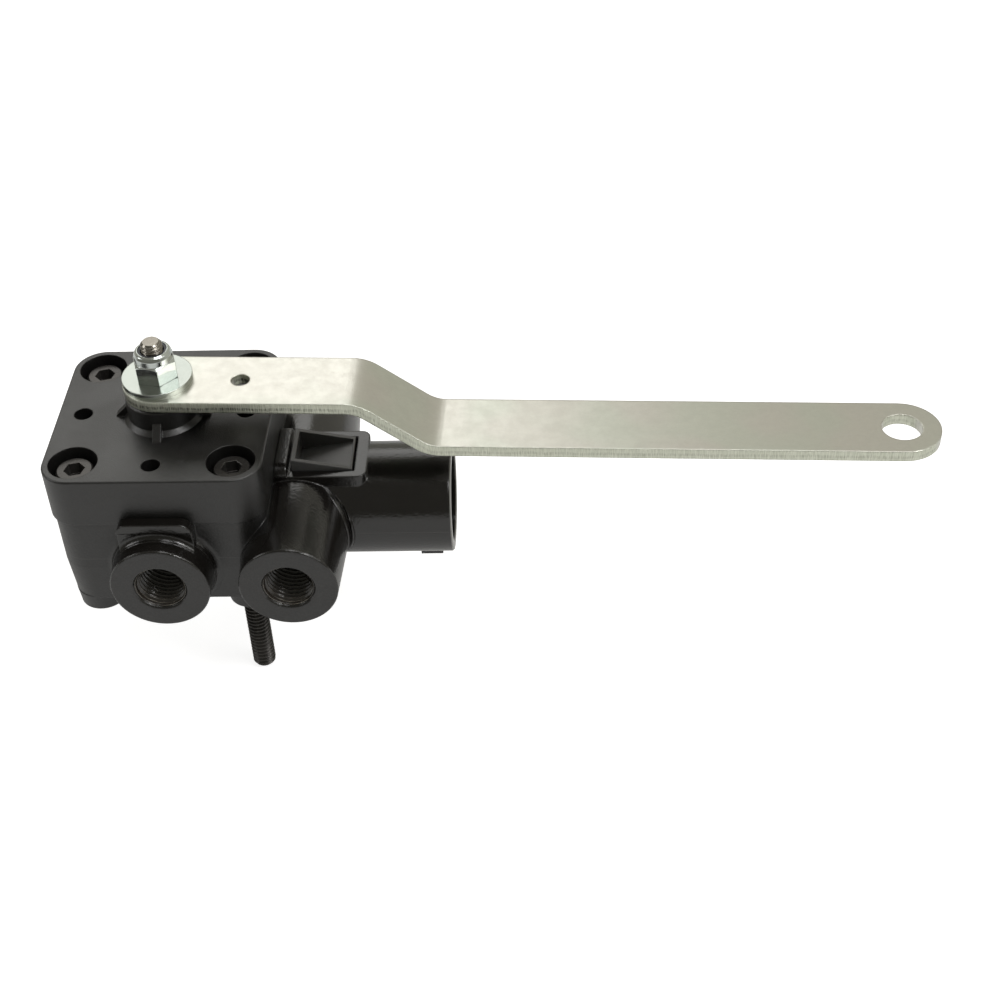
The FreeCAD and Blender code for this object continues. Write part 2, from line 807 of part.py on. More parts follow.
def make_lock_nut_insert():
    """Ring of nylon that grips the thread, held under the collar of the nut."""
    low = insert_top() - insert_height
    outer = cylinder(insert_radius(), low, insert_top(), Z_AXIS)
    return outer.cut(cylinder(thread_radius + thread_clearance, low - 1, insert_top() + 1, Z_AXIS))


def make_retaining_clip():
    """Wedge-shaped tray that drops into the pad, its tongue locking the cartridge."""
    x0, x1 = clip_start, clip_start + clip_length
    half = clip_half_width
    outer_points = [
        V(x0, 0, pad_top - clip_floor_drop - clip_sole), V(x1, 0, pad_top - clip_floor_end - clip_sole),
        V(x1, 0, pad_top + 0.2), V(x0, 0, pad_top + clip_rim_rise),
    ]
    outer = slab_from(outer_points, -half, half)
    inner_half = half - clip_wall
    inner_points = [
        V(x0 + clip_wall, 0, pad_top - clip_floor_drop), V(x1 - clip_wall / 2, 0, pad_top - clip_floor_end),
        V(x1 - clip_wall / 2, 0, pad_top + clip_rim_rise), V(x0 + clip_wall, 0, pad_top + clip_rim_rise + 1),
    ]
    tray = outer.cut(slab_from(inner_points, -inner_half, inner_half))
    tongue = box(tongue_start, tongue_start + tongue_length, -tongue_half_width, tongue_half_width,
                 tongue_bottom(), pad_top - clip_floor_drop)
    return tray.fuse(tongue).removeSplitter()


def tongue_bottom():
    return port_height + tube_bore - tongue_depth


def make_inlet_screen():
    base = V(0, -port_thread_end, port_height)
    disc = cylinder_at(screen_radius, base, Y_AXIS, screen_thickness)
    holes = screen_hole_set(base, Y_AXIS, X_AXIS, screen_ring)
    return disc.cut(Part.makeCompound(holes))


def screen_hole_set(centre, axis, across, circle):
    """Round holes on one circle and one in the middle, as cutters."""
    holes = [cylinder_at(screen_hole_radius, centre - axis, axis, 4)]
    for k in range(screen_holes):
        turned = FreeCAD.Rotation(axis, 360 / screen_holes * k).multVec(across)
        holes.append(cylinder_at(screen_hole_radius, centre - axis + turned * circle, axis, 4))
    return holes


def make_inlet_seat():
    base = V(0, -check_seat_start, port_height)
    outer = cylinder_at(check_radius - seal_clearance, base, Y_AXIS, check_seat_length)
    return outer.cut(cylinder_at(check_seat_bore, base - Y_AXIS, Y_AXIS, check_seat_length + 2))


def poppet_start():
    return -check_seat_start + check_seat_length


def make_inlet_poppet():
    stem_end = -check_end - poppet_travel - poppet_start()
    face = poppet_radius - poppet_chamfer
    profile = [
        (0, 0), (face, 0), (poppet_radius, poppet_chamfer), (poppet_radius, poppet_head),
        (poppet_stem_radius, poppet_head), (poppet_stem_radius, stem_end), (0, stem_end),
    ]
    return revolve(profile, V(0, poppet_start(), port_height), X_AXIS, Y_AXIS)


def make_inlet_spring():
    start = poppet_start() + poppet_head
    return coil(check_spring_radius, check_spring_wire, check_spring_pitch, -check_end - start,
                V(0, start, port_height), Y_AXIS)


def make_dump_cartridge():
    """Turned sleeve with three seal grooves, a cap at its outer end and four windows."""
    radius = cartridge_radius
    end = cartridge_start + cartridge_length
    stop = piston_start() - piston_travel - stop_clearance
    points = [(cartridge_bore, stop), (cartridge_bore - stop_step, stop),
              (cartridge_bore - stop_step, cartridge_start), (radius, cartridge_start)]
    for place in cartridge_seal_places:
        x = cartridge_start + place
        points += [(radius, x - groove_width / 2), (radius - groove_depth, x - groove_width / 2),
                   (radius - groove_depth, x + groove_width / 2), (radius, x + groove_width / 2)]
    points += [(radius, end - cartridge_edge), (radius - cartridge_edge, end), (pilot_radius, end),
               (pilot_radius, end - cartridge_cap), (cartridge_bore, end - cartridge_cap)]
    sleeve = revolve(points, V(0, 0, port_height), Z_AXIS, X_AXIS)
    windows = []
    for axis in (Y_AXIS, Z_AXIS):
        place = V(cartridge_window_place(), 0, port_height) - axis * (radius + 1)
        windows.append(cylinder_at(cartridge_window / 2, place, axis, 2 * radius + 2))
    slot = box(tongue_start - key_clearance, tongue_start + tongue_length + key_clearance,
               -radius, radius, tongue_bottom() - key_clearance, port_height + tube_radius)
    return sleeve.cut(Part.makeCompound(windows + [slot]))


def cartridge_window_place():
    return cartridge_start + cartridge_seal_places[0] + groove_width / 2 + cartridge_window / 2 + 0.4


def make_cartridge_seals():
    groove = cartridge_radius - groove_depth
    section = (tube_bore - groove) / 2 - seal_clearance
    rings = []
    for place in cartridge_seal_places:
        centre = V(cartridge_start + place, 0, port_height)
        rings.append(ring((tube_bore + groove) / 2, section, centre, X_AXIS))
    return Part.makeCompound(rings)


def make_dump_seat():
    base = V(cartridge_start, 0, port_height)
    outer = cylinder_at(cartridge_bore - stop_step - seal_clearance, base, X_AXIS, dump_seat_length)
    return outer.cut(cylinder_at(dump_seat_bore, base - X_AXIS, X_AXIS, dump_seat_length + 2))


def piston_start():
    return cartridge_start + cartridge_length - cartridge_cap - piston_gap - piston_length


def make_dump_piston():
    radius = cartridge_bore - running_clearance
    groove = radius - piston_groove_depth
    low = piston_seal_place - piston_groove_width / 2
    high = piston_seal_place + piston_groove_width / 2
    profile = [
        (piston_bore, 0), (radius, 0), (radius, low), (groove, low), (groove, high), (radius, high),
        (radius, piston_length), (0, piston_length), (0, piston_skirt), (piston_bore, piston_skirt),
    ]
    return revolve(profile, V(piston_start(), 0, port_height), Z_AXIS, X_AXIS)


def make_piston_seal():
    section = piston_groove_depth / 2 - seal_clearance
    middle = cartridge_bore - running_clearance - piston_groove_depth / 2
    return ring(middle, section, V(piston_start() + piston_seal_place, 0, port_height), X_AXIS)


def make_dump_spring():
    start = cartridge_start + dump_seat_length
    end = piston_start() + piston_skirt
    return coil(dump_spring_radius, dump_spring_wire, dump_spring_pitch, end - start,
                V(start, 0, port_height), X_AXIS)


def make_exhaust_screen():
    exhaust = way_places()[2]
    base = exhaust + Z_AXIS * (foot_height + exhaust_screen_inset)
    disc = cylinder_at(exhaust_radius - 0.05, base, Z_AXIS, exhaust_screen_thickness)
    return disc.cut(Part.makeCompound(screen_hole_set(base, Z_AXIS, X_AXIS, exhaust_screen_ring)))


def write_parts():
    long_places, short_places = screw_places()
    parts = {
        "valve_body": make_valve_body(),
        "cover": make_cover(),
        "cover_gasket": make_cover_gasket(),
        "cover_screw_front": short_screw(short_places[0]),
        "cover_screw_rear": short_screw(short_places[1]),
        "mounting_screw_front": long_screw(long_places[0]),
        "mounting_screw_rear": long_screw(long_places[1]),
        "control_shaft": make_control_shaft(),
        "shaft_seal": make_shaft_seal(),
        "shaft_bushing": make_shaft_bushing(),
        "thrust_spring": make_thrust_spring(),
        "rotor_disc": make_rotor_disc(),
        "seat_disc": make_seat_disc(),
        "seat_seals": make_seat_seals(),
        "seat_pin": make_seat_pin(),
        "lever_arm": make_lever_arm(),
        "lever_washer": make_lever_washer(),
        "lock_nut": make_lock_nut(),
        "lock_nut_insert": make_lock_nut_insert(),
        "retaining_clip": make_retaining_clip(),
        "inlet_screen": make_inlet_screen(),
        "inlet_seat": make_inlet_seat(),
        "inlet_poppet": make_inlet_poppet(),
        "inlet_spring": make_inlet_spring(),
        "dump_cartridge": make_dump_cartridge(),
        "cartridge_seals": make_cartridge_seals(),
        "dump_seat": make_dump_seat(),
        "dump_piston": make_dump_piston(),
        "piston_seal": make_piston_seal(),
        "dump_spring": make_dump_spring(),
        "exhaust_screen": make_exhaust_screen(),
    }
    os.makedirs("parts", exist_ok=True)
    for name, shape in parts.items():
        if not shape.isValid():
            raise ValueError(name + " is not a valid solid")
        shape.exportStep("parts/" + name + ".step")
        print(name, len(shape.Solids), round(shape.Volume, 1))


write_parts()
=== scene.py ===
import bmesh
import bpy
import math
from mathutils import Matrix, Vector


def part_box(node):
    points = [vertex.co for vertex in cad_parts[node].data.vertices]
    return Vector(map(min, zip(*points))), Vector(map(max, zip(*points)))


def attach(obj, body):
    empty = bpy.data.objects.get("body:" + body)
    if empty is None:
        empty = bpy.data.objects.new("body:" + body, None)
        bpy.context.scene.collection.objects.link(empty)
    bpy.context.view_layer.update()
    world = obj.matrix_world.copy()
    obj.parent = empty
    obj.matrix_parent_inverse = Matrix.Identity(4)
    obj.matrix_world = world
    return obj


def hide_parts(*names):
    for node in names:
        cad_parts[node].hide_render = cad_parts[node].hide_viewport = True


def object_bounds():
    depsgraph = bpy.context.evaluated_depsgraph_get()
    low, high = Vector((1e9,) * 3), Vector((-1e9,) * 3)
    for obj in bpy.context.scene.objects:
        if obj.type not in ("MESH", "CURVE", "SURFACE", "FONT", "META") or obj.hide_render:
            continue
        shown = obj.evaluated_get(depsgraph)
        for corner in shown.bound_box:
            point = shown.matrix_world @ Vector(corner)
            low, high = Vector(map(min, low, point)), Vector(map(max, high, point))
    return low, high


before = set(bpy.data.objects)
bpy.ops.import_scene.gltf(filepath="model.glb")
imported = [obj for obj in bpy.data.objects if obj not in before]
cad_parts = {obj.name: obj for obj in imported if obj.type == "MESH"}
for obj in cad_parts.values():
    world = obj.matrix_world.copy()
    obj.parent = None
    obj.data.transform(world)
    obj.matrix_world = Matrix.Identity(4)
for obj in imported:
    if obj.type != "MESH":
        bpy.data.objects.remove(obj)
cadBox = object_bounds()
print("valve frame loaded")

mm = 0.001
fullTurn = 2 * math.pi
bevelSamples = 6
scene = bpy.context.scene
scene.view_settings.view_transform = "Standard"

# places on the housing that looks, threads and corners share
bodyLow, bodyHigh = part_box("valve_body")
blockSide = -bodyLow[0]  # left side of the square block
portFace = bodyHigh[1]  # outer face of every boss, front and rear
tubeEnd = bodyHigh[0]
portHeight = 15.9 * mm  # axis of the ports and of the side tube
airPortX = 33.0 * mm


# node helpers

def addNode(tree, kind, wires=None, **settings):
    made = tree.nodes.new(kind)
    for name, value in settings.items():
        setattr(made, name, value)
    for name, value in (wires or {}).items():
        wire(tree, value, made.inputs[name])
    return made


def wire(tree, value, socket):
    if isinstance(value, bpy.types.NodeSocket):
        tree.links.new(value, socket)
    elif value is not None:
        socket.default_value = value


def calc(tree, operation, first, second=None, third=None, clamp=False):
    made = addNode(tree, "ShaderNodeMath", {0: first, 1: second, 2: third},
                   operation=operation, use_clamp=clamp)
    return made.outputs[0]


def spread(tree, value, fromLow, fromHigh, toLow=0.0, toHigh=1.0):
    # a stretch of values moved to another stretch, with soft ends
    made = addNode(tree, "ShaderNodeMapRange", {0: value, 1: fromLow, 2: fromHigh, 3: toLow, 4: toHigh},
                   interpolation_type="SMOOTHSTEP")
    return made.outputs[0]


def mixColour(tree, amount, first, second):
    # a colour mix takes its two colours at sockets 6 and 7 and gives its result at 2
    made = addNode(tree, "ShaderNodeMix", {0: amount, 6: first, 7: second}, data_type="RGBA")
    return made.outputs[2]


def addNoise(tree, place, scale, detail, roughness=None):
    made = addNode(tree, "ShaderNodeTexNoise", {
        "Vector": place, "Scale": scale, "Detail": detail, "Roughness": roughness,
    })
    return made.outputs[0]


def objectPlace(tree):
    return addNode(tree, "ShaderNodeTexCoord").outputs["Object"]


def splitAxes(tree, vector):
    return addNode(tree, "ShaderNodeSeparateXYZ", {0: vector}).outputs


def startGroup(name, inputs, outputs):
    tree = bpy.data.node_groups.new(name, "ShaderNodeTree")
    for label, value in inputs.items():
        socket = tree.interface.new_socket(label, in_out="INPUT", socket_type="NodeSocketFloat")
        socket.default_value = value
    for label in outputs:
        tree.interface.new_socket(label, in_out="OUTPUT", socket_type="NodeSocketFloat")
    return tree, tree.nodes.new("NodeGroupInput").outputs, tree.nodes.new("NodeGroupOutput").inputs


def useGroup(tree, group, wires):
    return addNode(tree, "ShaderNodeGroup", wires, node_tree=group).outputs


# shared effects

skinGrainLook = {
    "peelDetail": 1.5, "sandFiner": 4.0, "sandDetail": 2.0, "sandRange": (0.32, 0.68), "sandShare": 0.45,
    "patchScale": 90.0, "patchDetail": 4.0, "patchRoughness": 0.6, "patchRange": (0.3, 0.7),
    "patchShare": 0.55,
}


def makeSkinGrain():
    # orange peel with a finer sand over it, and slow patches of a darker and a lighter tone
    look = skinGrainLook
    tree, given, out = startGroup("skinGrain", {"Scale": 1400.0, "Fineness": 0.4}, ("Height", "Tone"))
    place = objectPlace(tree)
    peel = addNoise(tree, place, given["Scale"], look["peelDetail"])
    sandScale = calc(tree, "MULTIPLY", given["Scale"], look["sandFiner"])
    sand = addNoise(tree, place, sandScale, look["sandDetail"])
    fine = calc(tree, "MULTIPLY", sand, given["Fineness"])
    wire(tree, calc(tree, "ADD", peel, fine), out["Height"])
    patch = addNoise(tree, place, look["patchScale"], look["patchDetail"], look["patchRoughness"])
    slow = spread(tree, patch, *look["patchRange"], 0.0, look["patchShare"])
    quick = spread(tree, sand, *look["sandRange"], 0.0, look["sandShare"])
    wire(tree, calc(tree, "ADD", slow, quick), out["Tone"])
    return tree


edgeWearAndGlintLook = {"reach": 0.22 * mm, "rubScale": 420.0, "rubDetail": 3.0, "rubRange": (0.35, 0.65)}


def makeEdgeWearAndGlint():
    # a mask of the thin line where two faces meet, broken where it was rubbed less; the pale colour laid on
    # it is partly wear and partly a painted highlight on the edges
    look = edgeWearAndGlintLook
    tree, given, out = startGroup("edgeWearAndGlint", {"Line": 6.0, "Break": 0.5}, ("Mask",))
    rounded = addNode(tree, "ShaderNodeBevel", {"Radius": look["reach"]}, samples=bevelSamples)
    flat = addNode(tree, "ShaderNodeNewGeometry")
    meet = addNode(tree, "ShaderNodeVectorMath", {0: rounded.outputs[0], 1: flat.outputs["True Normal"]},
                   operation="DOT_PRODUCT")
    lean = calc(tree, "SUBTRACT", 1.0, meet.outputs["Value"])
    line = calc(tree, "MULTIPLY", lean, given["Line"], clamp=True)
    rub = addNoise(tree, objectPlace(tree), look["rubScale"], look["rubDetail"])
    missing = calc(tree, "SUBTRACT", 1.0, spread(tree, rub, *look["rubRange"]))
    kept = calc(tree, "SUBTRACT", 1.0, calc(tree, "MULTIPLY", given["Break"], missing))
    wire(tree, calc(tree, "MULTIPLY", line, kept, clamp=True), out["Mask"])
    return tree


handlingDustLook = {"speckRange": (0.02, 0.16), "gateScale": 260.0, "gateDetail": 2.0,
                    "gateRange": (0.56, 0.66)}


def makeHandlingDust():
    # small pale specks, gathered in patches
    look = handlingDustLook
    tree, given, out = startGroup("handlingDust", {"Scale": 700.0, "Amount": 0.5}, ("Mask",))
    place = objectPlace(tree)
    cells = addNode(tree, "ShaderNodeTexVoronoi", {"Vector": place, "Scale": given["Scale"]})
    speck = spread(tree, cells.outputs["Distance"], *look["speckRange"], 1.0, 0.0)
    some = spread(tree, addNoise(tree, place, look["gateScale"], look["gateDetail"]), *look["gateRange"])
    wire(tree, calc(tree, "MULTIPLY", calc(tree, "MULTIPLY", speck, some), given["Amount"]), out["Mask"])
    return tree


sheetGrainLook = {
    "pull": (0.12, 1.0, 1.0), "streakScale": 3800.0, "streakDetail": 3.0, "crystalScale": 5200.0,
    "crystalDetail": 2.0, "bloomDetail": 8.0, "bloomRoughness": 0.72, "bloomRange": (0.3, 0.72),
}


def makeSheetGrain():
    # rolled steel under zinc: faint streaks along the sheet, fine crystals and a cloudy bloom
    look = sheetGrainLook
    tree, given, out = startGroup("sheetGrain", {"Bloom": 120.0}, ("Height", "Tone"))
    place = objectPlace(tree)
    pulled = addNode(tree, "ShaderNodeMapping", {"Vector": place, "Scale": look["pull"]}).outputs[0]
    streaks = addNoise(tree, pulled, look["streakScale"], look["streakDetail"])
    crystal = addNoise(tree, place, look["crystalScale"], look["crystalDetail"])
    wire(tree, calc(tree, "ADD", streaks, crystal), out["Height"])
    cloud = addNoise(tree, place, given["Bloom"], look["bloomDetail"], look["bloomRoughness"])
    wire(tree, spread(tree, cloud, *look["bloomRange"]), out["Tone"])
    return tree


skinGrain = makeSkinGrain()
edgeWearAndGlint = makeEdgeWearAndGlint()
handlingDust = makeHandlingDust()
sheetGrain = makeSheetGrain()
print("shared effects made")


def startMaterial(name, values):
    material = bpy.data.materials.new(name)
    material.use_nodes = True
    tree = material.node_tree
    shader = tree.nodes["Principled BSDF"]
    for label, value in values.items():
        shader.inputs[label].default_value = value
    return material, tree, shader


def finishSurface(tree, shader, colour, roughness, height, bumpDepth, edgeRadius):
    wire(tree, colour, shader.inputs["Base Color"])
    wire(tree, roughness, shader.inputs["Roughness"])
    rounded = addNode(tree, "ShaderNodeBevel", {"Radius": edgeRadius}, samples=bevelSamples)
    bump = addNode(tree, "ShaderNodeBump", {
        "Strength": 1.0, "Distance": bumpDepth, "Height": height, "Normal": rounded.outputs[0],
    })
    wire(tree, bump.outputs[0], shader.inputs["Normal"])


# black nylon of the housing, the cover and the clip; the clip is lightened to grey as painted light

housingLook = {
    "specular": 0.8, "grainScale": 1400.0, "fineness": 0.12, "edgeLine": 3.0, "edgeBreak": 0.6,
    "dustScale": 900.0, "dustAmount": 0.2, "deep": (0.0070, 0.0060, 0.0052, 1),
    "light": (0.0095, 0.0085, 0.0075, 1), "edgeWearAndHighlight": (0.06, 0.057, 0.053, 1), "dust": (0.12, 0.12, 0.115, 1),
    "glossy": 0.13, "dull": 0.21, "peelDepth": 0.05 * mm, "edgeRadius": 0.7 * mm,
}
coverLook = {
    "specular": 0.85, "grainScale": 2600.0, "fineness": 0.5, "edgeLine": 4.0, "edgeBreak": 0.5,
    "dustScale": 1100.0, "dustAmount": 0.2, "deep": (0.0045, 0.0042, 0.0040, 1),
    "light": (0.0105, 0.0100, 0.0095, 1), "edgeWearAndHighlight": (0.07, 0.07, 0.068, 1), "dust": (0.14, 0.14, 0.135, 1),
    "glossy": 0.32, "dull": 0.42, "peelDepth": 0.035 * mm, "edgeRadius": 0.35 * mm,
}
# port threads: the pale crest colour is a painted highlight on the thread crests, and the lighter brownish
# base is partly bare-metal tone and partly painted sheen
threadSheenLook = dict(housingLook, deep=(0.022, 0.018, 0.015, 1), light=(0.036, 0.031, 0.026, 1),
                  edgeWearAndHighlight=(0.34, 0.31, 0.26, 1), edgeLine=6.0, edgeBreak=0.75, glossy=0.16, dull=0.26,
                  edgeRadius=0.2 * mm)
# the clip's colours are lightened to grey as painted light, standing for the light on its sloped floor
clipPaintedLitLook = dict(coverLook, deep=(0.070, 0.0695, 0.069, 1), light=(0.084, 0.0835, 0.083, 1),
                glossy=0.36, dull=0.46)


def makeBlackNylon(name, look):
    # black moulded nylon: orange peel, patchy gloss, pale edges that are partly wear and partly painted
    # highlight, and a little dust
    material, tree, shader = startMaterial(name, {"Specular IOR Level": look["specular"]})
    grain = useGroup(tree, skinGrain, {"Scale": look["grainScale"], "Fineness": look["fineness"]})
    edge = useGroup(tree, edgeWearAndGlint, {"Line": look["edgeLine"], "Break": look["edgeBreak"]})
    dust = useGroup(tree, handlingDust, {"Scale": look["dustScale"], "Amount": look["dustAmount"]})
    colour = mixColour(tree, grain["Tone"], look["deep"], look["light"])
    # pale edge colour: partly wear, partly a painted highlight along the edges
    colour = mixColour(tree, edge["Mask"], colour, look["edgeWearAndHighlight"])
    colour = mixColour(tree, dust["Mask"], colour, look["dust"])
    roughness = spread(tree, grain["Tone"], 0.0, 1.0, look["glossy"], look["dull"])
    finishSurface(tree, shader, colour, roughness, grain["Height"], look["peelDepth"], look["edgeRadius"])
    return material, tree, shader


portLook = {
    "faceStart": portFace - 0.05 * mm, "faceDeep": (0.009, 0.0085, 0.0083, 1),
    "faceLight": (0.022, 0.021, 0.0205, 1), "faceDuller": 0.22,
    "blockEdge": blockSide + 0.6 * mm, "blockDeep": (0.006, 0.0057, 0.0055, 1),
    "blockLight": (0.0125, 0.012, 0.0116, 1), "blockDuller": 0.2,
    "rimStart": tubeEnd - 0.3 * mm, "rim": (0.22, 0.215, 0.20, 1),
    "speckleScale": 4200.0, "speckleDetail": 2.0, "speckleRange": (0.35, 0.7),
    "seamRise": 3.1 * mm, "seamRange": (0.088 * mm, 0.22 * mm), "seamMark": 0.5,
    "seam": (0.045, 0.044, 0.042, 1),
}


def makeHousingBlack():
    # gloss on the round bosses and the tube, satin on the block, grey port faces and a bare tube rim
    look = portLook
    material, tree, shader = makeBlackNylon("housingBlack", housingLook)
    place = objectPlace(tree)
    spot = splitAxes(tree, place)
    reachX = calc(tree, "ABSOLUTE", spot["X"])
    reachY = calc(tree, "ABSOLUTE", spot["Y"])
    face = calc(tree, "GREATER_THAN", reachY, look["faceStart"])
    block = calc(tree, "LESS_THAN", calc(tree, "MAXIMUM", reachX, reachY), look["blockEdge"])
    rim = calc(tree, "GREATER_THAN", spot["X"], look["rimStart"])
    # the parting line runs along the bosses and the tube, and a little higher round the block
    seamHeight = calc(tree, "MULTIPLY_ADD", block, look["seamRise"], portHeight)
    offSeam = calc(tree, "ABSOLUTE", calc(tree, "SUBTRACT", spot["Z"], seamHeight))
    line = spread(tree, offSeam, *look["seamRange"], look["seamMark"], 0.0)
    seam = calc(tree, "MULTIPLY", line, calc(tree, "SUBTRACT", 1.0, face))
    speckle = addNoise(tree, place, look["speckleScale"], look["speckleDetail"])
    fleck = spread(tree, speckle, *look["speckleRange"])
    grey = mixColour(tree, fleck, look["faceDeep"], look["faceLight"])
    sand = mixColour(tree, fleck, look["blockDeep"], look["blockLight"])
    coat = shader.inputs["Base Color"].links[0].from_socket
    gloss = shader.inputs["Roughness"].links[0].from_socket
    coat = mixColour(tree, block, coat, sand)
    coat = mixColour(tree, face, coat, grey)
    coat = mixColour(tree, rim, coat, look["rim"])
    wire(tree, mixColour(tree, seam, coat, look["seam"]), shader.inputs["Base Color"])
    satin = calc(tree, "MULTIPLY_ADD", block, look["blockDuller"], gloss)
    wire(tree, calc(tree, "MULTIPLY_ADD", face, look["faceDuller"], satin), shader.inputs["Roughness"])
    return material


housingBlack = makeHousingBlack()
coverBlack = makeBlackNylon("coverBlack", coverLook)[0]
clipPaintedLit = makeBlackNylon("clipPaintedLit", clipPaintedLitLook)[0]
threadBlackPaintedSheen = makeBlackNylon("threadBlackPaintedSheen", threadSheenLook)[0]


# zinc plated steel of the lever

leverLow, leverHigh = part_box("lever_arm")
leverThick = 3.0 * mm
zincLook = {
    "bloom": 230.0, "bright": (0.75, 0.757, 0.69, 1), "cloudy": (0.66, 0.664, 0.60, 1),
    "tint": 0.24, "tintScale": 46.0, "tintDetail": 1.0, "tintRange": (0.38, 0.62),
    "green": (0.70, 0.76, 0.66, 1), "rose": (0.78, 0.71, 0.68, 1),
    "smooth": 0.30, "matt": 0.36, "bumpDepth": 0.022 * mm, "edgeRadius": 0.6 * mm,
}
shearLook = {
    "sideRange": (0.45, 0.75), "edge": (0.80, 0.82, 0.70, 1), "edgeDark": (0.62, 0.64, 0.53, 1),
    "rougher": 0.04, "grooves": 2.0,
    "toothPull": (1.0, 0.02, 0.10), "toothScale": 3600.0, "toothDetail": 3.0, "toothRoughness": 0.6,
    "toothRange": (0.3, 0.7),
    "bendStart": 51.8 * mm, "bendEnd": 69.8 * mm, "nearFoot": leverHigh[2] - leverThick,
    "farFoot": leverLow[2],
    "waver": 0.35, "waverScale": 300.0, "waverDetail": 2.0,
    "torn": (0.24, 0.25, 0.20, 1), "tornLow": (0.22, 0.32), "tornHigh": (0.50, 0.58), "tornFull": 1.1,
    "fadeRange": (20.0 * mm, 60.0 * mm), "tornFar": 0.3,
}


def makeShearMasks(tree, place, side):
    # the sheared edge of the sheet, its upright tooth marks, and the torn line that wavers along it
    look = shearLook
    cut = spread(tree, calc(tree, "ABSOLUTE", splitAxes(tree, side)["Y"]), *look["sideRange"])
    pulled = addNode(tree, "ShaderNodeMapping", {"Vector": place, "Scale": look["toothPull"]}).outputs[0]
    teeth = addNoise(tree, pulled, look["toothScale"], look["toothDetail"], look["toothRoughness"])
    tooth = spread(tree, teeth, *look["toothRange"])
    spot = splitAxes(tree, place)
    foot = addNode(tree, "ShaderNodeMapRange", {
        0: spot["X"], 1: look["bendStart"], 2: look["bendEnd"], 3: look["nearFoot"], 4: look["farFoot"],
    }).outputs[0]
    level = calc(tree, "DIVIDE", calc(tree, "SUBTRACT", spot["Z"], foot), leverThick)
    drift = calc(tree, "SUBTRACT", addNoise(tree, place, look["waverScale"], look["waverDetail"]), 0.5)
    wavy = calc(tree, "MULTIPLY_ADD", drift, look["waver"], level)
    under = spread(tree, wavy, *look["tornLow"])
    over = spread(tree, wavy, *look["tornHigh"], 1.0, 0.0)
    rough = calc(tree, "SUBTRACT", look["tornFull"], tooth)
    band = calc(tree, "MULTIPLY", calc(tree, "MULTIPLY", under, over), rough, clamp=True)
    fade = spread(tree, spot["X"], *look["fadeRange"], 1.0, look["tornFar"])
    return cut, tooth, calc(tree, "MULTIPLY", band, fade)


def makeZincPlate():
    # satin zinc on the flats with a faint green and rose tint, and grooved sheared edges
    look = zincLook
    material, tree, shader = startMaterial("zincPlate", {"Metallic": 1.0})
    grain = useGroup(tree, sheetGrain, {"Bloom": look["bloom"]})
    coordinates = addNode(tree, "ShaderNodeTexCoord").outputs
    place = coordinates["Object"]
    cut, tooth, torn = makeShearMasks(tree, place, coordinates["Normal"])
    hue = spread(tree, addNoise(tree, place, look["tintScale"], look["tintDetail"]), *look["tintRange"])
    tint = mixColour(tree, hue, look["green"], look["rose"])
    colour = mixColour(tree, grain["Tone"], look["cloudy"], look["bright"])
    colour = mixColour(tree, look["tint"], colour, tint)
    edgeColour = mixColour(tree, tooth, shearLook["edgeDark"], shearLook["edge"])
    edgeColour = mixColour(tree, torn, edgeColour, shearLook["torn"])
    colour = mixColour(tree, cut, colour, edgeColour)
    satin = spread(tree, grain["Tone"], 0.0, 1.0, look["matt"], look["smooth"])
    roughness = calc(tree, "MULTIPLY_ADD", cut, shearLook["rougher"], satin)
    grooves = calc(tree, "MULTIPLY", calc(tree, "MULTIPLY", tooth, cut), shearLook["grooves"])
    height = calc(tree, "ADD", grain["Height"], grooves)
    finishSurface(tree, shader, colour, roughness, height, look["bumpDepth"], look["edgeRadius"])
    return material


zincPlate = makeZincPlate()


# turned, pressed and drawn metals

